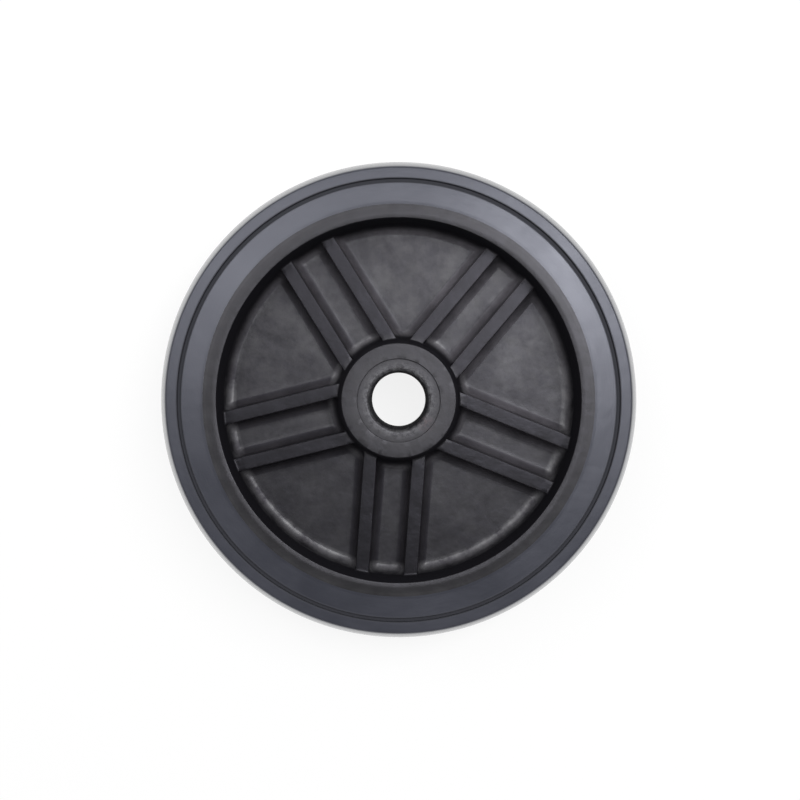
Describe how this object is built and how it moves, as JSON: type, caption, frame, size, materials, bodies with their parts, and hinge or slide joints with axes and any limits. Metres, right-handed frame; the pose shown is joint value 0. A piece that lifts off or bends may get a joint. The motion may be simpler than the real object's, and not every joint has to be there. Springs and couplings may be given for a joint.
{
  "type": "compressor wheel",
  "caption": "Plain-bore wheel: a solid rubber tyre with a crowned tread round a ribbed, deeply recessed plastic hub.",
  "frame": {"origin": "centre of the bore, in the wheel's middle plane", "axes": "+Z along the bore, out of the face that the picture shows; +X to the right and +Y upwards as that face is seen. The wheel lies flat, with its axle upright"},
  "size_m": [0.152, 0.152, 0.04],
  "materials": {
    "tyre": "black solid rubber, smooth moulded sidewalls with a soft sheen and faint handling marks",
    "hub": "black moulded plastic, fine mould grain with a dull sheen, slightly dusty in the pockets"
  },
  "bodies": {
    "root": {"tyre": "tyre", "hub": "hub"}
  },
  "joints": []
}
